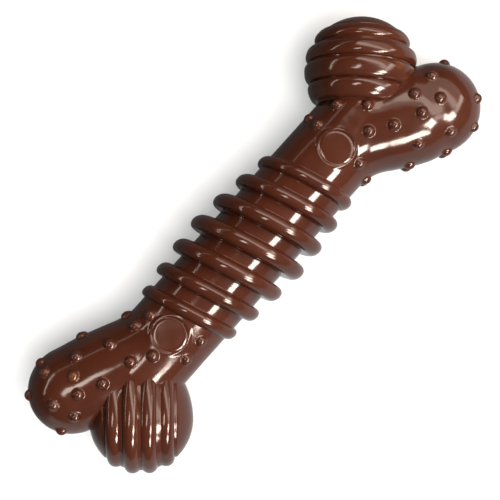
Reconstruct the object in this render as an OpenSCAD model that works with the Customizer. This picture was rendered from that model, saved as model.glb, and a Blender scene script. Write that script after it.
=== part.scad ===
// Nylon chew bone for a large dog: a ringed shaft with a forked knuckle at each end.
// One prong of each knuckle is a smooth lobe with nubs, the other is a ball with raised ridges.
// +X runs along the shaft to the upper end, +Z is up, and the origin is on the ground under the middle.

/* [Shaft] */
// Diameter of the plain shaft
shaft_d = 30.5; // [26:0.1:34]
// Diameter of the spigot at each end of the shaft
spigot_d = 16; // [10:0.5:20]
// Length of the spigot at each end of the shaft
spigot_l = 8; // [6:0.5:12]

/* [Rings] */
// Height of the middle ring above the shaft
ring_mid_h = 6.25; // [5.25:0.05:7.75]
// Height of the two end rings above the shaft
ring_end_h = 2.65; // [2:0.05:4.25]
// Width of the middle ring
ring_mid_w = 5.9; // [4.8:0.1:7]
// Width of the two end rings
ring_end_w = 4.5; // [3.6:0.1:5.4]
// Clear length of shaft between neighbouring rings
ring_gap = 4.75; // [3.5:0.05:6]
// Lean of every ring from square to the shaft, in degrees
ring_lean = 14; // [0:0.5:18]
// Depth to which each ring is let into the shaft
ring_seat = 1; // [0.5:0.1:2]

/* [Upper end] */
// Length of neck from the last ring to the fork
upper_neck_l = 21.4; // [18:0.1:26]
// Angle between the shaft and the upper lobe, in degrees
upper_lobe_angle = 29.4; // [22:0.1:34]
// How much thinner than the shaft the upper lobe is where it leaves the neck
upper_root_less = 0.7; // [0.5:0.1:3.5]
// Length of the upper lobe from the fork to the middle of its tip
upper_lobe_l = 34; // [30:0.2:40]
// Distance from the fork to the fattest place of the upper lobe
upper_swell_at = 26; // [20:0.5:28]
// How much fatter than the shaft the upper lobe is at its fattest place
upper_swell_more = 3.9; // [-0.5:0.1:5.5]
// How much thinner than its fattest place the upper lobe is at its round tip
upper_tip_less = 2; // [1.4:0.1:6.4]
// Outer diameter of the upper ridged knob
upper_knob_d = 40; // [36:0.2:42]
// Angle between the shaft and the upper knob, in degrees
upper_knob_angle = 42; // [38:0.5:50]
// Distance from the foot of the upper knob to the middle of its ball
upper_knob_reach = 18.5; // [17:0.1:20]
// Distance from the last ring to the middle of the upper round pad
upper_pad_x = 14.3; // [10:0.1:18]

/* [Lower end] */
// Length of neck from the first ring to the fork
lower_neck_l = 17.2; // [16:0.1:24]
// Angle between the shaft and the lower lobe, in degrees
lower_lobe_angle = 22.8; // [18:0.1:32]
// How much thinner than the shaft the lower lobe is where it leaves the neck
lower_root_less = 0.7; // [0.5:0.1:3.5]
// Length of the lower lobe from the fork to the middle of its tip
lower_lobe_l = 31.8; // [30:0.2:40]
// Distance from the fork to the fattest place of the lower lobe
lower_swell_at = 22; // [18:0.5:27]
// How much fatter than the shaft the lower lobe is at its fattest place
lower_swell_more = 0.5; // [-1.5:0.1:3.5]
// How much thinner than its fattest place the lower lobe is at its round tip
lower_tip_less = 0.8; // [-1:0.1:4]
// Outer diameter of the lower ridged knob
lower_knob_d = 37.4; // [34:0.2:40]
// Angle between the shaft and the lower knob, in degrees
lower_knob_angle = 45; // [40:0.5:50]
// Distance from the foot of the lower knob to the middle of its ball
lower_knob_reach = 17.2; // [16:0.1:19]
// Distance from the first ring to the middle of the lower round pad
lower_pad_x = 9.9; // [9:0.1:14]

/* [Knobs] */
// Distance along the shaft's axis from the fork to the foot of the knob
knob_foot = 9; // [7:0.5:11]
// Distance from the middle of the ball back to its flat seat
knob_seat = 12.5; // [10:0.1:13.5]
// Distance from the middle of the ball to its flat cheek beside the lobe
knob_cheek = 13.5; // [12:0.1:14]
// Height of a ridge above the ball
ridge_h = 1.6; // [1:0.1:2.4]
// Width of a ridge
ridge_w = 5.6; // [4:0.1:5.8]
// Distance from one ridge to the next on the upper knob, along the ridges' own axis
upper_ridge_pitch = 7; // [6.4:0.1:7.2]
// The same on the lower knob
lower_ridge_pitch = 6.3; // [6:0.1:6.8]
// Height of the ridges' crest above the smooth caps of the ball
cap_drop = 0.8; // [0.4:0.1:1.4]
// Shift of the upper knob's ridges from the middle of the ball towards its cap
upper_ridge_shift = 0.4; // [0:0.1:2]
// Angle from the upper knob's axis to the axis that its ridges circle, in degrees
upper_ridge_turn = -4; // [-8:0.5:0]
// The same for the lower knob, whose ridges run outward over it
lower_ridge_turn = 87; // [84:0.5:90]

/* [Nubs] */
// Diameter of a nub
nub_d = 4.4; // [3.4:0.1:5]
// Height of a nub above the surface
nub_h = 1.5; // [1:0.1:2]

/* [Pads] */
// Diameter of the flat round pad on top of each neck
pad_d = 11.8; // [9:0.1:13]
// Thickness of the pad
pad_t = 1.5; // [1:0.1:4]
// Depth of the pad's face below the top of the shaft
pad_drop = 0.75; // [0.4:0.05:1.2]

/* [Fits] */
// Clearance between a piece and its seat
seat_gap = 0.05; // [0.02:0.01:0.2]
// Clearance between a nub and its dimple
nub_gap = 0.05; // [0.02:0.01:0.1]

/* [Hidden] */
$fn = 64;
nub_facets = 24;

nylon = [0.36, 0.19, 0.15];
nylon_ridge = [0.33, 0.17, 0.13];
nylon_nub = [0.40, 0.22, 0.17];

// Places of the nubs on each neck: distance past the end ring, then angle round from the top
// to the lobe's side
upper_neck_nubs = [[16.4, -43], [26, -41], [32.3, -7], [16, 39], [15, 79], [17, -66]];
lower_neck_nubs = [[4.6, -39], [12.4, -41], [18.8, -2], [9.5, 38], [15.4, 44], [15, 78]];
// Places of the nubs on each lobe: distance past the fork, then angle round from the top to the outer side
upper_lobe_nubs = [
    [6, 6.5], [14.7, 9], [25, -18], [25, 5.5], [32.8, -4],
    [33.5, -37], [21.3, 41.5], [33.6, 41.7], [18.2, 79], [32.5, 80]
];
lower_lobe_nubs = [
    [8.8, 1], [20.2, -8.5], [29, -7.5], [28, 16],
    [12.6, 34], [24.7, 39], [21, 79]
];
// Places of the nubs over each round tip: angle past the end of the lobe, then angle round as above
upper_tip_nubs = [[55, 14], [36, 59], [30, -78]];
lower_tip_nubs = [[25, -7], [18, 42], [62, 42], [20, 66], [34, -60], [6, -34]];

UPPER = 0;
LOWER = 1;
ring_count = 7;
ring_mid = 4;
ridge_count = 4;
neck_l = [upper_neck_l, lower_neck_l];
lobe_angle = [upper_lobe_angle, lower_lobe_angle];
lobe_l = [upper_lobe_l, lower_lobe_l];
root_r = [shaft_d - upper_root_less, shaft_d - lower_root_less] / 2;
swell_at = [upper_swell_at, lower_swell_at];
swell_r = [shaft_d + upper_swell_more, shaft_d + lower_swell_more] / 2;
tip_r = swell_r - [upper_tip_less, lower_tip_less] / 2;
knob_r = [upper_knob_d / 2, lower_knob_d / 2];
knob_angle = [upper_knob_angle, lower_knob_angle];
knob_reach = [upper_knob_reach, lower_knob_reach];
pad_x = [upper_pad_x, lower_pad_x];
ridge_shift = [upper_ridge_shift, 0];
ridge_pitch = [upper_ridge_pitch, lower_ridge_pitch];
ridge_turn = [upper_ridge_turn, lower_ridge_turn];
neck_nubs = [upper_neck_nubs, lower_neck_nubs];
lobe_nubs = [upper_lobe_nubs, lower_lobe_nubs];
tip_nubs = [upper_tip_nubs, lower_tip_nubs];

shaft_r = shaft_d / 2;
ring_mid_d = shaft_d + 2 * ring_mid_h;
ring_end_d = shaft_d + 2 * ring_end_h;
ring_bore_r = shaft_r - ring_seat;
nub_r = nub_d / 2;
nub_sink = nub_r - nub_h;
axis_z = max(ring_mid_d, ring_end_d, upper_knob_d, lower_knob_d) / 2;
beyond = 4 * ring_mid_d;

// Powers of the barrel outline that the row of rings follows, in diameter and in width
barrel_d = 1.35;
barrel_w = 1.6;

function ring_share(i) = abs(i - ring_mid) / (ring_count - ring_mid);
function ring_d(i) = ring_mid_d - (ring_mid_d - ring_end_d) * pow(ring_share(i), barrel_d);
function ring_w(i) = ring_mid_w - (ring_mid_w - ring_end_w) * pow(ring_share(i), barrel_w);
// Distance of a ring from the middle one, with the same clear gap between all neighbours
function ring_step(k) =
    k == 0
        ? 0
        : ring_step(k - 1) + ring_gap + (ring_w(ring_mid + k) + ring_w(ring_mid + k - 1)) / 2;
function end_reach(e) = neck_l[e] + lobe_l[e] * cos(lobe_angle[e]) + tip_r[e];
// The middle ring lies a little off the middle of the bone, because the two ends differ in length
row_x = (end_reach(LOWER) - end_reach(UPPER)) / 2;
function ring_x(i) = row_x + sign(i - ring_mid) * ring_step(abs(i - ring_mid));
function end_ring(e) = e == UPPER ? ring_count : 1;

// Distance of the knob's middle from the lobe's own axis
function knob_off(e) =
    knob_foot * sin(lobe_angle[e]) + knob_reach[e] * sin(knob_angle[e] + lobe_angle[e]);

// Radius of a lobe at a distance past the fork
function lobe_r(e, u) =
    u < swell_at[e]
        ? root_r[e] + (swell_r[e] - root_r[e]) * u / swell_at[e]
        : swell_r[e] + (tip_r[e] - swell_r[e]) * (u - swell_at[e]) / (lobe_l[e] - swell_at[e]);

// The ring's own frame: its axis leans in the plane of the two knuckles
module ring_frame(i) {
    translate([ring_x(i), 0, axis_z])
        rotate([0, 0, ring_lean])
            rotate([0, 90, 0])
                children();
}

// The frame of one end: origin on the shaft's axis at the end ring, +X outward, lobe towards -Y
module end_frame(e) {
    translate([ring_x(end_ring(e)), 0, axis_z])
        rotate([0, 0, e == UPPER ? 0 : 180])
            children();
}

// The knob's own frame: origin in the middle of its ball, +X outward from its seat
module knob_frame(e) {
    translate([neck_l[e] + knob_foot, 0, 0])
        rotate([0, 0, knob_angle[e]])
            translate([knob_reach[e], 0, 0])
                children();
}

// A rib with a rounded crest
module ring(i) {
    crest_r = (ring_d(i) - ring_w(i)) / 2;
    color(nylon_ridge)
        ring_frame(i)
            difference() {
                union() {
                    cylinder(r = crest_r, h = ring_w(i), center = true);
                    rotate_extrude()
                        translate([crest_r, 0])
                            circle(d = ring_w(i));
                }
                cylinder(r = ring_bore_r, h = 2 * ring_w(i), center = true);
            }
}

// The groove that a ring is let into
module ring_groove(i) {
    ring_frame(i)
        difference() {
            cylinder(d = ring_d(i), h = ring_w(i) + 2 * seat_gap, center = true);
            cylinder(r = ring_bore_r - seat_gap, h = 2 * ring_w(i), center = true);
        }
}

// Everything on the shaft's side of the seam under an end ring, in that end's frame
module shaft_side() {
    rotate([0, 0, ring_lean])
        translate([-beyond / 2 + seat_gap / 2, 0, 0])
            cube(beyond, center = true);
}

module shaft() {
    color(nylon)
        difference() {
            union() {
                intersection() {
                    translate([0, 0, axis_z])
                        rotate([0, 90, 0])
                            cylinder(r = shaft_r, h = beyond, center = true);
                    end_frame(UPPER)
                        translate([-seat_gap, 0, 0])
                            shaft_side();
                    end_frame(LOWER)
                        translate([-seat_gap, 0, 0])
                            shaft_side();
                }
                for (e = [UPPER, LOWER])
                    end_frame(e)
                        translate([-spigot_l, 0, 0])
                            rotate([0, 90, 0])
                                cylinder(d = spigot_d, h = 2 * spigot_l);
            }
            for (i = [1 : ring_count])
                ring_groove(i);
        }
}

// Keeps the half of an outline that is turned about its Y axis, which ends up along Z
module turned() {
    rotate_extrude()
        intersection() {
            union() {
                children();
            }
            translate([0, -beyond / 2])
                square([beyond, beyond]);
        }
}

// The smooth lobe: a cone from the neck to its fattest place, a second cone and a round tip
module lobe_form(e) {
    back = asin((swell_r[e] - tip_r[e]) / (lobe_l[e] - swell_at[e]));
    tip_y = lobe_l[e] + tip_r[e] * sin(back);
    translate([neck_l[e], 0, 0])
        rotate([0, 0, -lobe_angle[e]])
            rotate([90, 0, 90])
                turned() {
                    polygon([
                        [0, 0], [root_r[e], 0], [swell_r[e], swell_at[e]],
                        [tip_r[e] * cos(back), tip_y], [0, tip_y]
                    ]);
                    translate([0, lobe_l[e]])
                        circle(tip_r[e]);
                }
}

// The neck: the shaft carried on past the fork to a round end, cut off at the flat seat of the knob
module neck_form(e) {
    difference() {
        rotate([90, 0, 90])
            turned() {
                translate([0, -shaft_d])
                    square([shaft_r, shaft_d + neck_l[e] + knob_foot]);
                translate([0, neck_l[e] + knob_foot])
                    circle(shaft_r);
            }
        knob_frame(e)
            knob_side(-seat_gap);
    }
}

// Everything beyond the flat seat of the knob, in the knob's frame
module knob_side(shift = 0) {
    translate([beyond / 2 - knob_seat + shift, 0, 0])
        cube(beyond, center = true);
}

// Everything on the knob's side of the cheek, the flat where the knob lies against the lobe
module cheek_side(e, shift = 0) {
    translate([neck_l[e], 0, 0])
        rotate([0, 0, -lobe_angle[e]])
            translate([0, beyond / 2 + knob_off(e) - knob_cheek + shift, 0])
                cube(beyond, center = true);
}

// Stands a nub upright on the neck, or past its foot on its round end, and repeats it on the underside
module on_neck(e, along, round) {
    foot = neck_l[e] + knob_foot;
    over = max(0, along - foot) / shaft_r * 180 / PI;
    for (side = [round, 180 - round])
        translate([min(along, foot), 0, 0])
            rotate([side, 0, 0])
                rotate([0, over, 0])
                    translate([0, 0, shaft_r - nub_sink])
                        children();
}

// The same on the lobe at a distance past the fork, or at an angle over its round tip
module on_lobe(e, along, round, over = 0) {
    for (side = [round, 180 - round])
        translate([neck_l[e], 0, 0])
            rotate([0, 0, -lobe_angle[e]])
                translate([along, 0, 0])
                    rotate([side, 0, 0])
                        rotate([0, over, 0])
                            translate([0, 0, lobe_r(e, along) - nub_sink])
                                children();
}

// The balls that make the nubs of one end
module nub_balls(e, r) {
    for (n = neck_nubs[e])
        on_neck(e, n[0], n[1])
            sphere(r, $fn = nub_facets);
    for (n = lobe_nubs[e])
        on_lobe(e, n[0], n[1])
            sphere(r, $fn = nub_facets);
    for (n = tip_nubs[e])
        on_lobe(e, lobe_l[e], n[1], n[0])
            sphere(r, $fn = nub_facets);
}

// Room for the ridged ball in the side of the lobe
module knob_hollow(e) {
    intersection() {
        knob_frame(e)
            sphere(knob_r[e] + seat_gap);
        knob_frame(e)
            knob_side(-seat_gap);
        cheek_side(e, -seat_gap);
    }
}

module knuckle(e) {
    color(nylon)
        difference() {
            end_frame(e)
                difference() {
                    union() {
                        neck_form(e);
                        difference() {
                            lobe_form(e);
                            knob_hollow(e);
                        }
                    }
                    shaft_side();
                    translate([-spigot_l, 0, 0])
                        rotate([0, 90, 0])
                            cylinder(d = spigot_d + 2 * seat_gap, h = 2 * spigot_l + seat_gap);
                    translate([pad_x[e], 0, shaft_r - pad_drop - pad_t - seat_gap])
                        cylinder(d = pad_d + 2 * seat_gap, h = shaft_r);
                    nub_balls(e, nub_r + nub_gap);
                }
            ring_groove(end_ring(e));
        }
}

// Place of a ridge along the ridges' own axis, from the middle of the ball
function ridge_at(e, i) = ridge_shift[e] + (ridge_count / 2 + 0.5 - i) * ridge_pitch[e];

// Outline of one ridge, with +Y along the ridges' own axis
module ridge_outline(e, i, grow = 0) {
    hoop_r = knob_r[e] - ridge_w / 2;
    translate([sqrt(pow(hoop_r, 2) - pow(ridge_at(e, i), 2)), ridge_at(e, i)])
        circle(d = ridge_w + 2 * grow);
}

// Turns an outline about the ridges' own axis, in the ball's frame, starting beside the seat
module about_ridge_axis(e) {
    rotate([0, 0, ridge_turn[e]])
        rotate([0, 90, 0])
            rotate([0, 0, -90])
                turned()
                    children();
}

// Cuts a piece of the knob at its flat seat and at the cheek beside the lobe
module knob_trim(e) {
    end_frame(e)
        intersection() {
            knob_frame(e) {
                children();
            }
            knob_frame(e)
                knob_side();
            cheek_side(e);
        }
}

// A ball with grooves for the ridges and a smooth cap at each end of the ridged band
module knob(e) {
    band = ridge_pitch[e] * ridge_count;
    color(nylon)
        knob_trim(e)
            about_ridge_axis(e)
                difference() {
                    union() {
                        circle(knob_r[e] - ridge_h);
                        difference() {
                            circle(knob_r[e] - cap_drop);
                            translate([0, ridge_shift[e]])
                                square([beyond, band], center = true);
                        }
                    }
                    for (i = [1 : ridge_count])
                        ridge_outline(e, i, seat_gap);
                }
}

module ridge(e, i) {
    color(nylon_ridge)
        knob_trim(e)
            about_ridge_axis(e)
                ridge_outline(e, i);
}

module nubs(e) {
    color(nylon_nub)
        end_frame(e)
            nub_balls(e, nub_r);
}

module pad(e) {
    color(nylon)
        end_frame(e)
            translate([pad_x[e], 0, shaft_r - pad_drop - pad_t])
                cylinder(d = pad_d, h = pad_t);
}

shaft();
for (i = [1 : ring_count])
    ring(i);
knuckle(UPPER);  // upper_knuckle
knuckle(LOWER);  // lower_knuckle
knob(UPPER);  // upper_knob
knob(LOWER);  // lower_knob
for (i = [1 : ridge_count]) {
    ridge(UPPER, i);
    ridge(LOWER, i);
}
nubs(UPPER);  // upper_nubs
nubs(LOWER);  // lower_nubs
pad(UPPER);  // upper_pad
pad(LOWER);  // lower_pad
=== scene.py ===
"""Looks of a ringed nylon chew bone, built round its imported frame: +X along the shaft, +Z up, in metres."""

import math

import bpy
import numpy as np
from mathutils import Matrix, Vector


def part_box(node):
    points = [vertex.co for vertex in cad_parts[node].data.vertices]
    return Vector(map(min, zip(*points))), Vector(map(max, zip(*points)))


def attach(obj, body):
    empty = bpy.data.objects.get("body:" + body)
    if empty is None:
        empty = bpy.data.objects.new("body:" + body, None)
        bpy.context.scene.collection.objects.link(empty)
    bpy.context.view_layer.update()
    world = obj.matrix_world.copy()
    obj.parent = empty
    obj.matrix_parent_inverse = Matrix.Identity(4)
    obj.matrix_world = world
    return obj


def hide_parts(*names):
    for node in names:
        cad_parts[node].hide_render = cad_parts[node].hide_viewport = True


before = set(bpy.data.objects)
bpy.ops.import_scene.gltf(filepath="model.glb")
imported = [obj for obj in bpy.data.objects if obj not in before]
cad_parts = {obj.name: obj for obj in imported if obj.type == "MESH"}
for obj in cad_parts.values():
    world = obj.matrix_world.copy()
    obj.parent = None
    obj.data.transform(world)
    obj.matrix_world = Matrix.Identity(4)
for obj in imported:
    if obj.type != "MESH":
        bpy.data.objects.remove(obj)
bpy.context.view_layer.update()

# Shaft
# The plain round middle of the bone. The whole bone is one shot of brown nylon, so the shaft runs on
# under the end ribs into both knuckles, and all pieces share the same glossy moulded skin.

shaft_low, shaft_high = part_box("shaft")
axis_height = (shaft_low[2] + shaft_high[2]) / 2
shaft_radius = (shaft_high[2] - shaft_low[2]) / 2
rib_lean = math.radians(14)
rib_boxes = [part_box(f"ring_{i}") for i in range(1, 8)]
rib_places = [(low[0] + high[0]) / 2 for low, high in rib_boxes]
shaft_around, shaft_steps = 192, 24

nylon_brown = (0.138, 0.0365, 0.0172, 1)
nylon_dark = (0.104, 0.0262, 0.0122, 1)
# Painted glow: an amber colour, and two spots where it stands in for light shining through the thin resin.
painted_glow_amber = (0.30, 0.105, 0.025, 1)
painted_glow_places = [(-0.0744, 0.0149, 0.0372), (0.0775, 0.0030, 0.0380)]
painted_glow_reach = 0.0028


def brown_nylon():
    """Glossy brown nylon: a slow drift of tone, a painted amber glow at two spots that stands in for light
    shining through the thin resin, a gloss that varies like handled plastic, sink-mark waves and a very fine
    moulded grain."""
    nylon = bpy.data.materials.new("brown_nylon")
    nylon.use_nodes = True
    nodes, links = nylon.node_tree.nodes, nylon.node_tree.links
    shader = nodes["Principled BSDF"]
    shader.inputs["IOR"].default_value = 1.53
    place = nodes.new("ShaderNodeTexCoord").outputs["Object"]

    def noise(scale, detail, roughness=0.5):
        texture = nodes.new("ShaderNodeTexNoise")
        texture.inputs["Scale"].default_value = scale
        texture.inputs["Detail"].default_value = detail
        texture.inputs["Roughness"].default_value = roughness
        links.new(place, texture.inputs["Vector"])
        return texture.outputs["Fac"]

    tone = nodes.new("ShaderNodeValToRGB")
    tone.color_ramp.elements[0].position = 0.32
    tone.color_ramp.elements[0].color = nylon_dark
    tone.color_ramp.elements[1].position = 0.68
    tone.color_ramp.elements[1].color = nylon_brown
    links.new(noise(55, 3), tone.inputs["Fac"])
    colour = tone.outputs["Color"]
    # Painted glow: amber is mixed into the base colour round each spot, in place of light shining through the
    # resin.
    for spot in painted_glow_places:
        far = nodes.new("ShaderNodeVectorMath")
        far.operation = "DISTANCE"
        links.new(place, far.inputs[0])
        far.inputs[1].default_value = spot
        fade = nodes.new("ShaderNodeMapRange")
        fade.interpolation_type = "SMOOTHSTEP"
        fade.inputs["From Min"].default_value = 0.4 * painted_glow_reach
        fade.inputs["From Max"].default_value = painted_glow_reach
        fade.inputs["To Min"].default_value = 0.42
        fade.inputs["To Max"].default_value = 0
        links.new(far.outputs["Value"], fade.inputs["Value"])
        painted_glow_mix = nodes.new("ShaderNodeMix")
        painted_glow_mix.data_type = "RGBA"
        painted_glow_mix.inputs["B"].default_value = painted_glow_amber
        links.new(fade.outputs["Result"], painted_glow_mix.inputs["Factor"])
        links.new(colour, painted_glow_mix.inputs["A"])
        colour = painted_glow_mix.outputs["Result"]
    links.new(colour, shader.inputs["Base Color"])

    gloss = nodes.new("ShaderNodeMapRange")
    gloss.inputs["From Min"].default_value = 0.3
    gloss.inputs["From Max"].default_value = 0.7
    gloss.inputs["To Min"].default_value = 0.08
    gloss.inputs["To Max"].default_value = 0.17
    links.new(noise(130, 5, 0.6), gloss.inputs["Value"])
    links.new(gloss.outputs["Result"], shader.inputs["Roughness"])

    waves = nodes.new("ShaderNodeBump")
    waves.inputs["Strength"].default_value = 1
    waves.inputs["Distance"].default_value = 0.00022
    links.new(noise(95, 1.5), waves.inputs["Height"])
    grain = nodes.new("ShaderNodeBump")
    grain.inputs["Strength"].default_value = 1
    grain.inputs["Distance"].default_value = 0.000006
    links.new(noise(1900, 2), grain.inputs["Height"])
    links.new(waves.outputs["Normal"], grain.inputs["Normal"])
    links.new(grain.outputs["Normal"], shader.inputs["Normal"])
    return nylon


nylon = brown_nylon()


def skin(name, *sheets, looped=False):
    """Smooth piece made of closed sheets. A sheet is rows of points round a tube: neighbouring rows are
    joined by quads, and its two ends are closed by fans or, if looped, joined to each other."""
    points, faces, start = [], [], 0
    for rows in sheets:
        count, around, _ = rows.shape
        here = start + np.arange(count * around).reshape(count, around)
        if looped:
            here = np.vstack([here, here[:1]])
        beside = np.roll(here, -1, axis=1)
        faces += np.stack([here[:-1], beside[:-1], beside[1:], here[1:]], -1).reshape(-1, 4).tolist()
        points.append(rows.reshape(-1, 3))
        start += count * around
        if not looped:
            first, last = np.full(around, start), np.full(around, start + 1)
            faces += np.stack([first, beside[0], here[0]], -1).tolist()
            faces += np.stack([last, here[-1], beside[-1]], -1).tolist()
            points.append(np.stack([rows[0].mean(0), rows[-1].mean(0)]))
            start += 2
    mesh = bpy.data.meshes.new(name)
    mesh.from_pydata(np.concatenate(points).tolist(), [], faces)
    mesh.polygons.foreach_set("use_smooth", np.ones(len(faces), dtype=bool))
    mesh.materials.append(nylon)
    piece = bpy.data.objects.new(name, mesh)
    bpy.context.collection.objects.link(piece)
    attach(piece, "root")
    return piece


def shaft_rows(row_count):
    """Plain cylinder about the shaft's axis, whose two ends follow the lean of the end ribs: at each angle
    round, x runs from the first rib's plane to the last rib's plane."""
    turn = np.linspace(0, 2 * np.pi, shaft_around, endpoint=False)
    y, z = shaft_radius * np.cos(turn), shaft_radius * np.sin(turn)
    along = np.linspace(rib_places[0], rib_places[-1], row_count)[:, None] - y * math.tan(rib_lean)
    y, z = np.broadcast_to(y, along.shape), np.broadcast_to(axis_height + z, along.shape)
    return np.stack([along, y, z], -1)


shaft = skin("shaft_skin", shaft_rows(shaft_steps))
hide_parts("shaft")

# Ribs
# Seven round-crested rings moulded round the shaft, all leaning the same way, tallest in the middle.
# Each runs out onto the shaft in a small fillet, where the mould was rounded.

rib_fillet = 0.0005
rib_root = 0.0006
rib_around = 256


def rib_outline(width, height, fillet):
    """Half of a rib's section as (across, up): a fillet arc from the shaft, a straight flank where there is
    room, and half of the round crest. Mirrored, it gives the whole section."""
    crest = height - width / 2
    low = max(0, fillet - crest)
    lift = math.asin(low / (width / 2 + fillet))
    foot = (width / 2 + fillet) * math.cos(lift)
    sweep = np.linspace(-np.pi / 2, -lift, 9)
    rise = np.linspace(np.pi - lift, np.pi / 2, 17)
    across = np.concatenate([-foot + fillet * np.cos(sweep), width / 2 * np.cos(rise)])
    up = np.concatenate([fillet + fillet * np.sin(sweep), crest + width / 2 * np.sin(rise)])
    return np.concatenate([across, -across[-2::-1]]), np.concatenate([up, up[-2::-1]])


def rib_rows(place, low, high):
    """A rib's section carried round the leaning ring, with a root sunk in the shaft. At each point the foot
    lies on the shaft, which a leaning plane cuts in an ellipse, and the height is stretched so that the crest
    keeps the ring's radius."""
    radius = (high[2] - low[2]) / 2
    width = (high[0] - low[0] - 2 * radius * math.sin(rib_lean)) / (1 - math.sin(rib_lean))
    height = radius - shaft_radius
    across, up = rib_outline(width, height, rib_fillet)
    across = np.concatenate([across[:1], across, across[-1:]])[:, None]
    up = np.concatenate([[-rib_root], up, [-rib_root]])[:, None]
    turn = np.linspace(0, 2 * np.pi, rib_around, endpoint=False)
    lean_cos, lean_sin = math.cos(rib_lean), math.sin(rib_lean)

    def shaft_reach(t):
        a = np.cos(turn) ** 2 * lean_cos**2 + np.sin(turn) ** 2
        b = t * lean_sin * np.cos(turn) * lean_cos
        c = t**2 * lean_sin**2 - shaft_radius**2
        return (-b + np.sqrt(b**2 - a * c)) / a

    reach = shaft_reach(across) + up / height * (radius - shaft_reach(0))
    sideways = reach * np.cos(turn)
    x = place + across * lean_cos - sideways * lean_sin
    y = across * lean_sin + sideways * lean_cos
    z = axis_height + reach * np.sin(turn)
    return np.stack([x, y, z], -1)


for number, place in enumerate(rib_places):
    rib = skin(f"rib_{number + 1}", rib_rows(place, *rib_boxes[number]), looped=True)
    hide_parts(f"ring_{number + 1}")

# Knuckles
# The forked ends. The shaft's own tube bends aside into a swollen lobe with a round tip, and a stub of it
# goes straight on as the shoulder that carries the ridged knob. The fork between the two is rounded.

knuckle_sizes = {
    "upper": {
        "neck": 0.0214, "angle": math.radians(29.4), "lobe": 0.0340, "swell_at": 0.026,
        "root": 0.0150, "swell": 0.0172, "tip": 0.0162, "pad_at": 0.0143,
        "knob": 0.0200, "knob_angle": math.radians(42), "knob_reach": 0.0185,
    },
    "lower": {
        "neck": 0.0172, "angle": math.radians(22.8), "lobe": 0.0318, "swell_at": 0.022,
        "root": 0.0149, "swell": 0.0155, "tip": 0.0151, "pad_at": 0.0099,
        "knob": 0.0187, "knob_angle": math.radians(45), "knob_reach": 0.0172,
    },
}
bend_radius = 0.046
fork_blend = 0.011
knob_foot = 0.009
pad_radius = 0.0059
pad_drop = 0.00075
pad_fillet = 0.0014
pad_lap = 0.0004
pocket_fillet = 0.0006
foot_drop = 0.0006
pocket_drop = 0.00005
lobe_around, shoulder_around = 340, 220
lobe_steps, shoulder_steps, tip_steps = 150, 80, 36
shoulder_start = 0.004
slant_run = 0.006
patch_spare = 0.003
patch_sink = 0.0001
patch_ease = 0.0006
walk_steps, walk_share = 50, 0.9


def to_bone(points, end):
    """Moves points from an end's own frame, +X outward from the end rib, knob towards +Y and heights from the
    axis, to the bone's frame. The lower end is turned half round."""
    way = 1 if end == "upper" else -1
    start = rib_places[-1] if end == "upper" else rib_places[0]
    return points * (way, way, 1) + (start, 0, axis_height)


def bent_path(size):
    """Length of the straight neck, of the whole path, and where along it the swell lies."""
    tangent = bend_radius * math.tan(size["angle"] / 2)
    straight = size["neck"] - tangent
    bent = bend_radius * size["angle"]
    return straight, straight + bent + size["lobe"] - tangent, straight + bent + size["swell_at"] - tangent


def path_frame(size, u):
    """Place, direction and left-hand side of the path at length u: along X, then round an arc towards -Y,
    then straight along the lobe."""
    straight, _, _ = bent_path(size)
    angle = np.clip((u - straight) / bend_radius, 0, size["angle"])
    tail = np.maximum(u - straight - bend_radius * size["angle"], 0)
    x = np.minimum(u, straight) + bend_radius * np.sin(angle) + tail * np.cos(angle)
    y = -bend_radius * (1 - np.cos(angle)) - tail * np.sin(angle)
    flat = np.zeros_like(u)
    place = np.stack([x, y, flat], -1)
    ahead = np.stack([np.cos(angle), -np.sin(angle), flat], -1)
    side = np.stack([np.sin(angle), np.cos(angle), flat], -1)
    return place, ahead, side


def lobe_radius(size, u):
    """Radius of the bent tube at length u: the shaft's radius, a slight waist at the bend, the swell and the
    tip, each eased into the next by half a cosine wave."""
    straight, whole, swell_at = bent_path(size)
    stops = [0.5 * straight, straight + bend_radius * size["angle"] / 2, swell_at, whole]
    radii = [shaft_radius, size["root"], size["swell"], size["tip"]]
    radius = np.full_like(u, radii[0])
    for k in range(3):
        share = np.clip((u - stops[k]) / (stops[k + 1] - stops[k]), 0, 1)
        radius = radius + (radii[k + 1] - radii[k]) * (1 - np.cos(np.pi * share)) / 2
    return radius


def bent_tube_depth(size, p):
    """Distance of points from the bent tube, with the outward direction at each: the nearest place on the
    path is on the straight, on the arc or on the lobe, and past its end the tube closes in a ball."""
    straight, whole, _ = bent_path(size)
    bend = size["angle"]
    angle = np.arctan2(p[..., 0] - straight, p[..., 1] + bend_radius)
    on_arc = straight + bend_radius * np.clip(angle, 0, bend)
    bent = straight + bend_radius * bend
    end, ahead, _ = path_frame(size, np.array(bent))
    u = np.where(angle <= 0, p[..., 0], np.where(angle < bend, on_arc, bent + (p - end) @ ahead))
    u = np.clip(u, -1, whole)
    out = p - path_frame(size, u)[0]
    reach = np.linalg.norm(out, axis=-1)
    return reach - lobe_radius(size, u), out / np.maximum(reach, 1e-9)[..., None]


def soft_min(a, b, blend):
    """The smaller of two distances, rounded off over a blend length where they are nearly equal."""
    blend = np.maximum(blend, 1e-7)
    share = np.maximum(blend - np.abs(a - b), 0) / blend
    return np.minimum(a, b) - share**2 * blend / 4


def shoulder_depth(size, p):
    """Distance of points from the shoulder, the shaft's tube carried straight on to a round end, with the
    outward direction at each."""
    out = p - np.minimum(p[..., :1], size["neck"] + knob_foot) * (1, 0, 0)
    reach = np.linalg.norm(out, axis=-1)
    return reach - shaft_radius, out / np.maximum(reach, 1e-9)[..., None]


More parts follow.
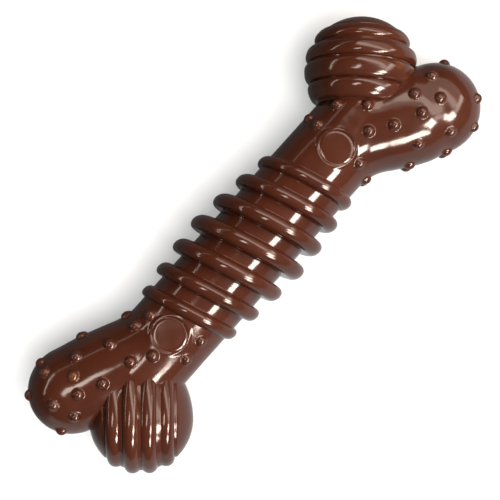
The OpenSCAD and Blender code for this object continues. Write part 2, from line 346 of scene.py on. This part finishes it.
def knuckle_depth(size, p):
    """Distance of points from the knuckle: lobe and shoulder joined by a fillet that grows as their surfaces
    part, with a filleted foot for the pad where it stands proud and a soft pocket where it lies below the
    crown. The second result tells whose ground a point is on."""
    lobe, lobe_out = bent_tube_depth(size, p)
    stub, stub_out = shoulder_depth(size, p)
    spread = np.clip(1 - np.sum(lobe_out * stub_out, -1), 0, 1)
    body = soft_min(lobe, stub, fork_blend * spread)
    rim = np.hypot(p[..., 0] - size["pad_at"], p[..., 1]) - pad_radius
    face = p[..., 2] - shaft_radius + pad_drop
    foot = np.maximum(np.maximum(rim - pad_lap, face + foot_drop), -p[..., 2])
    body = soft_min(body, foot, pad_fillet)
    return -soft_min(-body, np.maximum(rim, -face - pocket_drop), pocket_fillet), lobe - stub


def reach_out(size, start, way, limit):
    """Walks from points inside the knuckle along a direction to its skin, no further than a limit, by steps
    nearly as long as the distance still to go."""
    far = np.full(start.shape[:-1], 0.3 * shaft_radius)
    for _ in range(walk_steps):
        far = np.minimum(far - walk_share * knuckle_depth(size, start + far[..., None] * way)[0], limit)
    return far


def knuckle_rows(size):
    """Two sheets: rays out of the bent path, fanned over its round tip, and rays out of the straight
    shoulder. Each stops at the common skin, and lies a hair lower on the other's ground so that the two never
    coincide."""
    _, whole, _ = bent_path(size)
    sheets = []
    for straight_on in (False, True):
        turn = np.linspace(0, 2 * np.pi, shoulder_around if straight_on else lobe_around, endpoint=False)
        run = size["neck"] + knob_foot if straight_on else whole
        first = shoulder_start if straight_on else 0
        steps = shoulder_steps if straight_on else lobe_steps
        u = np.concatenate([np.linspace(first, run, steps), np.full(tip_steps, run)])
        over = np.concatenate([np.zeros(steps), np.linspace(0, np.pi / 2, tip_steps + 2)[1:-1]])
        if straight_on:
            place = u[:, None] * (1, 0, 0)
            ahead, side = np.broadcast_to((1, 0, 0), place.shape), np.broadcast_to((0, 1, 0), place.shape)
            own = np.full_like(u, shaft_radius)
        else:
            place, ahead, side = path_frame(size, u)
            own = lobe_radius(size, u)
        ring = np.cos(turn)[None, :, None] * side[:, None] + np.sin(turn)[None, :, None] * np.array((0, 0, 1))
        way = np.cos(over)[:, None, None] * ring + np.sin(over)[:, None, None] * ahead[:, None]
        start = np.broadcast_to(place[:, None], way.shape)
        if not straight_on:
            lean = shaft_radius * np.cos(turn) * math.tan(rib_lean)
            slant = np.clip(1 - u / slant_run, 0, 1)[:, None] * lean
            start = start - slant[..., None] * (1, 0, 0)
        far = reach_out(size, start, way, (own + patch_spare)[:, None])
        ground = knuckle_depth(size, start + far[..., None] * way)[1]
        trespass = ground if not straight_on else patch_ease / 2 - ground
        far = far - patch_sink * np.clip(trespass / patch_ease, 0, 1)
        sheets.append(start + far[..., None] * way)
    return sheets


for end, size in knuckle_sizes.items():
    knuckle = skin(f"{end}_knuckle_skin", *[to_bone(rows, end) for rows in knuckle_rows(size)])
    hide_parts(f"{end}_knuckle")

# Knobs
# The ball on each shoulder, with a smooth cap at both ends of its ridged band. It is moulded in one with the
# shoulder and the lobe, and meets them in a crisp crease.

ridge_count = 4
ridge_pitch = {"upper": 0.0070, "lower": 0.0063}
ridge_height = {"upper": 0.0018, "lower": 0.0013}
ridge_shift = {"upper": 0.0004, "lower": 0}
ridge_turn = {"upper": math.radians(-4), "lower": math.radians(87)}
cap_drop = 0.0008
cap_ease = 0.0008
knob_stretch = {"upper": 1.2, "lower": 1.3}
knob_squash = {"upper": 0.94, "lower": 1}
knob_around, knob_steps = 220, 140


def about_ball(end, size, reach, latitude):
    """Turns a half outline, given as distance from the ball's middle and latitude, about the axis of the
    ridges, which points outward on the upper knob and across the bone on the lower one. The half of the ball
    towards the neck is stretched, so that the knob leaves the neck without a notch, and the upper knob's end
    is a little flat."""
    turn = np.linspace(0, 2 * np.pi, knob_around, endpoint=False)
    heading = size["knob_angle"] + ridge_turn[end]
    axis = np.array((math.cos(heading), math.sin(heading), 0))
    across = np.array((-math.sin(heading), math.cos(heading), 0))
    outward = np.array((math.cos(size["knob_angle"]), math.sin(size["knob_angle"]), 0))
    ring = np.cos(turn)[:, None] * across + np.sin(turn)[:, None] * np.array((0, 0, 1))
    reach, latitude = reach[:, None, None], latitude[:, None, None]
    offset = reach * (np.sin(latitude) * axis + np.cos(latitude) * ring)
    along = offset @ outward
    grow = np.where(along < 0, knob_stretch[end] - 1, knob_squash[end] - 1)
    offset = offset + (grow * along)[..., None] * outward
    return to_bone((size["neck"] + knob_foot, 0, 0) + size["knob_reach"] * outward + offset, end)


def knob_rows(end, size):
    """A ball whose radius steps up smoothly from the floor of the ridged band to the two caps."""
    latitude = np.linspace(-np.pi / 2, np.pi / 2, knob_steps + 2)[1:-1]
    from_band = np.abs(size["knob"] * np.sin(latitude) - ridge_shift[end])
    step = np.clip((from_band - ridge_pitch[end] * ridge_count / 2) / cap_ease + 0.5, 0, 1)
    reach = size["knob"] - ridge_height[end] + (ridge_height[end] - cap_drop) * step**2 * (3 - 2 * step)
    return about_ball(end, size, reach, latitude)


for end, size in knuckle_sizes.items():
    knob = skin(f"{end}_knob_ball", knob_rows(end, size))
    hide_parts(f"{end}_knob")

# Ridges
# Hoops moulded round each knob for the dog's teeth: flat-crowned with a narrow groove between neighbours on
# the upper knob, where they circle its outward axis, and round-crested on the lower one, where they run
# outward over it.

ridge_half_width = {"upper": 0.0034, "lower": 0.00325}
ridge_crown = {"upper": (2.6, 2.2), "lower": (2, 1.1)}
ridge_bury = 0.0005
ridge_root = 0.001
ridge_steps = 41


def ridge_rows(end, size, number):
    """One hoop: a bump of the ball's radius over a few degrees of latitude, closed beneath the ball. Its
    section is one less a power of the distance from the crest, and the root of that: high powers flatten the
    crown."""
    place = ridge_shift[end] + (ridge_count / 2 + 0.5 - number) * ridge_pitch[end]
    if end == "upper" and place < 0:
        place = place / knob_stretch[end]
    share = np.sin(np.linspace(-np.pi / 2, np.pi / 2, ridge_steps))
    power, rooted = ridge_crown[end]
    crown = (1 - np.abs(share) ** power) ** (1 / rooted)
    floor = size["knob"] - ridge_height[end] - ridge_bury
    root = [floor - ridge_root]
    reach = np.concatenate([root, floor + (size["knob"] - floor) * crown, root])
    share = np.concatenate([share[:1], share, share[-1:]])
    middle = math.asin(place / (size["knob"] - ridge_height[end]))
    return about_ball(end, size, reach, middle + share * ridge_half_width[end] / size["knob"])


for end, size in knuckle_sizes.items():
    for number in range(1, ridge_count + 1):
        ridge = skin(f"{end}_ridge_hoop_{number}", ridge_rows(end, size, number), looped=True)
        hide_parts(f"{end}_ridge_{number}")

# Nubs
# Small domes that rub the dog's gums, scattered over both necks and lobes, above and below. Each is moulded
# with the skin under it and runs out in a small fillet.

nub_radius = 0.0022
nub_height = 0.0015
nub_fillet = 0.0006
nub_root = 0.0004
nub_around = 28
neck_nubs = {
    "upper": [(16.4, -43), (26, -41), (32.3, -7), (16, 39), (15, 79), (17, -66)],
    "lower": [(4.6, -39), (12.4, -41), (18.8, -2), (9.5, 38), (15.4, 44), (15, 78)],
}
lobe_nubs = {
    "upper": [
        (6, 6.5), (14.7, 9), (25, -18), (25, 5.5), (32.8, -4),
        (33.5, -37), (21.3, 41.5), (33.6, 41.7), (18.2, 79), (32.5, 80),
    ],
    "lower": [(8.8, 1), (20.2, -8.5), (29, -7.5), (28, 16), (12.6, 34), (24.7, 39), (21, 79)],
}
tip_nubs = {
    "upper": [(55, 14), (36, 59), (30, -78)],
    "lower": [(25, -7), (18, 42), (62, 42), (20, 66), (34, -60), (6, -34)],
}


def nub_stands(end, size):
    """Foot and upright of every nub: millimetres along the neck, along the lobe, or degrees over the tip,
    then degrees round from the top. Each is repeated on the underside."""
    foot_end = size["neck"] + knob_foot
    neck = np.array(neck_nubs[end]) * (0.001, np.pi / 180)
    lobe = np.array(lobe_nubs[end]) * (0.001, np.pi / 180)
    tip = np.array(tip_nubs[end]) * np.pi / 180
    along = np.concatenate([np.minimum(neck[:, 0], foot_end), lobe[:, 0], np.full(len(tip), size["lobe"])])
    neck_over = np.maximum(neck[:, 0] - foot_end, 0) / shaft_radius
    over = np.concatenate([neck_over, np.zeros(len(lobe)), tip[:, 0]])
    round_from_top = np.concatenate([neck[:, 1], lobe[:, 1], tip[:, 1]])
    heading = np.concatenate([np.zeros(len(neck)), np.full(len(lobe) + len(tip), -size["angle"])])
    fork = np.concatenate([np.zeros(len(neck)), np.full(len(lobe) + len(tip), size["neck"])])
    along, over, heading, fork = (np.concatenate([row, row]) for row in (along, over, heading, fork))
    round_from_top = np.concatenate([round_from_top, np.pi - round_from_top])
    ahead = np.stack([np.cos(heading), np.sin(heading), 0 * heading], -1)
    right = np.stack([np.sin(heading), -np.cos(heading), 0 * heading], -1)
    up = np.sin(round_from_top)[:, None] * right + np.cos(round_from_top)[:, None] * np.array((0, 0, 1))
    upright = np.cos(over)[:, None] * up + np.sin(over)[:, None] * ahead
    foot = fork[:, None] * (1, 0, 0) + along[:, None] * ahead
    return foot, upright


def nub_rows(end, size):
    """Every nub of one end as rows round its upright: a ball's cap, then a fillet arc tangent to the skin and
    a buried root. Each point is dropped along the upright onto the skin and raised by the outline's
    height."""
    sink = nub_radius - nub_height
    reach = math.sqrt((nub_radius + nub_fillet) ** 2 - (nub_fillet + sink) ** 2)
    edge = math.asin(reach / (nub_radius + nub_fillet))
    cap = np.linspace(0.02, edge, 14)
    sweep = np.linspace(edge, 0, 8)[1:]
    wide = np.concatenate([nub_radius * np.sin(cap), reach - nub_fillet * np.sin(sweep), [reach]])
    flare = nub_fillet - nub_fillet * np.cos(sweep)
    high = np.concatenate([nub_radius * np.cos(cap) - sink, flare, [-nub_root]])
    foot, upright = nub_stands(end, size)
    level = np.cross(upright, (0.31, 0.17, 0.93))
    level = level / np.linalg.norm(level, axis=1)[:, None]
    beside = np.cross(upright, level)
    turn = np.linspace(0, 2 * np.pi, nub_around, endpoint=False)
    spoke = np.cos(turn)[:, None] * level[:, None] + np.sin(turn)[:, None] * beside[:, None]
    start = foot[:, None, None] + wide[:, None, None] * spoke[:, None]
    drop = np.full(start.shape[:-1], 1.5 * shaft_radius)
    way = upright[:, None, None]
    for _ in range(walk_steps):
        drop = drop - walk_share * knuckle_depth(size, start + drop[..., None] * way)[0]
    return to_bone(start + (drop + high[:, None])[..., None] * way, end)


for end, size in knuckle_sizes.items():
    nubs = skin(f"{end}_nub_domes", *nub_rows(end, size)[:, ::-1])
    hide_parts(f"{end}_nubs")

# Pads
# A flat round land on each neck, moulded with it and left by the mould's ejector pin. It lies a little below
# the crown of the neck.

pad_slope = math.radians(24)
pad_chamfer = 0.0009
pad_wall = (0.0025, 0.001)
pad_around, pad_middle = 96, 0.0002


def pad_rows(size):
    """A disc turned about its upright axis: a flat face, a chamfered rim that laps over the pocket's edge and
    a short wall down into the neck."""
    edge = pad_radius + pad_lap
    slant = np.linspace(0, 1, 5)
    bottom = pad_chamfer * math.tan(pad_slope)
    face = np.linspace(edge - pad_chamfer, pad_middle, 8)[1:]
    wide = np.concatenate([[edge, edge], edge - pad_chamfer * slant, face])
    fall = np.concatenate([pad_wall, bottom * (1 - slant), 0 * face])
    turn = np.linspace(0, 2 * np.pi, pad_around, endpoint=False)
    ring = np.stack([np.cos(turn), np.sin(turn), 0 * turn], -1)
    top = np.array((size["pad_at"], 0, shaft_radius - pad_drop))
    return top + wide[:, None, None] * ring - fall[:, None, None] * np.array((0, 0, 1))


for end, size in knuckle_sizes.items():
    pad = skin(f"{end}_pad_land", to_bone(pad_rows(size), end))
    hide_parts(f"{end}_pad")

# Studio
# A white table with a lamp of its own, a soft key high on the right that gives the bone its colour, and light
# boxes that only the gloss sees: strips on the near and far side, and windows on the right and left. The room
# is dim, and the camera looks down from above, turned as in the photograph.

half_table = 3
table = bpy.data.meshes.new("table")
table.from_pydata(
    [(x * half_table, y * half_table, 0) for x, y in ((-1, -1), (1, -1), (1, 1), (-1, 1))], [], [(0, 1, 2, 3)]
)
table_top = bpy.data.objects.new("table", table)
bpy.context.collection.objects.link(table_top)
table_lift = 0.36
white_from, white_to = 0.2, 0.9
near_mirror = 0.5
mirror_from, mirror_to = 0.03, -0.02
table_grey = (0.34, 0.34, 0.34, 1)
bounce_grey = (0.06, 0.06, 0.06, 1)


def white_table():
    """Matt grey with light of its own for the camera, more of it farther from the bone, so that the table is
    white and keeps the bone's shadow. The bone's gloss sees some light on the near half only. To light that
    bounces, the table is darker than to the camera, like the unlit side of a studio."""
    white = bpy.data.materials.new("white_table")
    white.use_nodes = True
    nodes, links = white.node_tree.nodes, white.node_tree.links
    shader = nodes["Principled BSDF"]
    shader.inputs["Roughness"].default_value = 0.9
    shader.inputs["Specular IOR Level"].default_value = 0
    shader.inputs["Emission Color"].default_value = (1, 1, 1, 1)
    rays = nodes.new("ShaderNodeLightPath")
    point = nodes.new("ShaderNodeTexCoord").outputs["Object"]
    place = nodes.new("ShaderNodeSeparateXYZ")
    links.new(point, place.inputs["Vector"])
    away = nodes.new("ShaderNodeVectorMath")
    away.operation = "LENGTH"
    links.new(point, away.inputs[0])
    paler = nodes.new("ShaderNodeMapRange")
    paler.interpolation_type = "SMOOTHSTEP"
    paler.inputs["From Min"].default_value = white_from
    paler.inputs["From Max"].default_value = white_to
    paler.inputs["To Min"].default_value = table_lift
    links.new(away.outputs["Value"], paler.inputs["Value"])
    near = nodes.new("ShaderNodeMapRange")
    near.interpolation_type = "SMOOTHSTEP"
    near.inputs["From Min"].default_value = mirror_from
    near.inputs["From Max"].default_value = mirror_to
    near.inputs["To Max"].default_value = near_mirror
    links.new(place.outputs["Y"], near.inputs["Value"])
    lift = nodes.new("ShaderNodeMath")
    lift.operation = "MULTIPLY"
    links.new(rays.outputs["Is Camera Ray"], lift.inputs[0])
    links.new(paler.outputs["Result"], lift.inputs[1])
    seen = nodes.new("ShaderNodeMath")
    seen.operation = "MULTIPLY_ADD"
    links.new(rays.outputs["Is Glossy Ray"], seen.inputs[0])
    links.new(near.outputs["Result"], seen.inputs[1])
    links.new(lift.outputs["Value"], seen.inputs[2])
    links.new(seen.outputs["Value"], shader.inputs["Emission Strength"])
    grey = nodes.new("ShaderNodeMix")
    grey.data_type = "RGBA"
    grey.inputs["A"].default_value = bounce_grey
    grey.inputs["B"].default_value = table_grey
    links.new(rays.outputs["Is Camera Ray"], grey.inputs["Factor"])
    links.new(grey.outputs["Result"], shader.inputs["Base Color"])
    return white


table.materials.append(white_table())


def light_box(name, place, length, width, power):
    """A light box that lies along the bone and faces it, with its length, width and power."""
    lamp = bpy.data.lights.new(name, "AREA")
    lamp.shape = "RECTANGLE"
    lamp.size, lamp.size_y = length, width
    lamp.energy = power
    lamp.color = (1, 0.88, 0.77)
    holder = bpy.data.objects.new(name, lamp)
    back = (Vector(place) - Vector((0, 0, axis_height))).normalized()
    up = back.cross(Vector((1, 0, 0))).normalized()
    holder.matrix_world = Matrix.Translation(place) @ Matrix((up.cross(back), up, back)).transposed().to_4x4()
    bpy.context.collection.objects.link(holder)
    return holder


light_box("key", (0.33, -0.45, 1.05), 1.0, 0.7, 14.8).visible_glossy = False
light_box("near_strip", (0.123, -0.67, 0.745), 0.32, 0.24, 7.6).visible_diffuse = False
light_box("near_tail", (0.74, -0.67, 0.745), 0.914, 0.18, 3.0).visible_diffuse = False
light_box("low_strip", (-0.24, -0.74, 0.60), 0.28, 0.22, 6.0).visible_diffuse = False
light_box("far_strip", (-0.47, 0.92, 0.50), 1.06, 0.05, 1.7).visible_diffuse = False
light_box("far_glow", (0.36, 0.92, 0.50), 0.60, 0.06, 0.20).visible_diffuse = False
light_box("right_window", (0.60, 0.04, 0.95), 0.32, 1.55, 5.2).visible_diffuse = False
light_box("right_haze", (0.72, 0.04, 0.80), 1.0, 1.55, 5.8).visible_diffuse = False
light_box("left_window", (-0.22, 0.14, 1.0), 0.36, 0.15, 1.9).visible_diffuse = False

table_only = bpy.data.collections.new("table_only")
table_only.objects.link(table_top)
table_light = light_box("table_light", (-0.15, -0.20, 1.0), 0.6, 0.6, 22)
table_light.data.color = (1, 1, 1)
table_light.light_linking.receiver_collection = table_only

room_level = 0.10
room_lean = -0.08
room_least = 0.04
world = bpy.data.worlds.new("white_room")
bpy.context.scene.world = world
world.use_nodes = True
sky, room = world.node_tree.nodes, world.node_tree.links
sky["Background"].inputs["Color"].default_value = (1, 1, 1, 1)
split = sky.new("ShaderNodeSeparateXYZ")
room.new(sky.new("ShaderNodeTexCoord").outputs["Generated"], split.inputs["Vector"])
slope = sky.new("ShaderNodeMath")
slope.operation = "MULTIPLY_ADD"
slope.inputs[1].default_value = room_lean
slope.inputs[2].default_value = room_level
room.new(split.outputs["Y"], slope.inputs[0])
least = sky.new("ShaderNodeMath")
least.operation = "MAXIMUM"
least.inputs[1].default_value = room_least
room.new(slope.outputs["Value"], least.inputs[0])
backdrop = sky.new("ShaderNodeMath")
backdrop.operation = "MAXIMUM"
room.new(sky.new("ShaderNodeLightPath").outputs["Is Camera Ray"], backdrop.inputs[0])
room.new(least.outputs["Value"], backdrop.inputs[1])
room.new(backdrop.outputs["Value"], sky["Background"].inputs["Strength"])

camera_data = bpy.data.cameras.new("camera")
camera = bpy.data.objects.new("camera", camera_data)
bpy.context.collection.objects.link(camera)
bpy.context.scene.camera = camera
middle_rib = rib_places[len(rib_places) // 2]
camera_back, camera_rise, aim_side = 0.0287, 0.375, -0.00128
camera_place = Vector((middle_rib - camera_back, 0, axis_height + camera_rise))
camera_aim = Vector((middle_rib, aim_side, axis_height))
picture_up = Vector((0.747, 0.665, 0))
picture_width = 0.175
back = (camera_place - camera_aim).normalized()
right = picture_up.cross(back).normalized()
camera_turn = Matrix((right, back.cross(right), back)).transposed().to_4x4()
camera.matrix_world = Matrix.Translation(camera_place) @ camera_turn
camera_data.sensor_width = 36
camera_data.lens = camera_data.sensor_width * (camera_place - camera_aim).length / picture_width
camera_data.clip_start = 0.01

bpy.context.scene.view_settings.view_transform = "Standard"
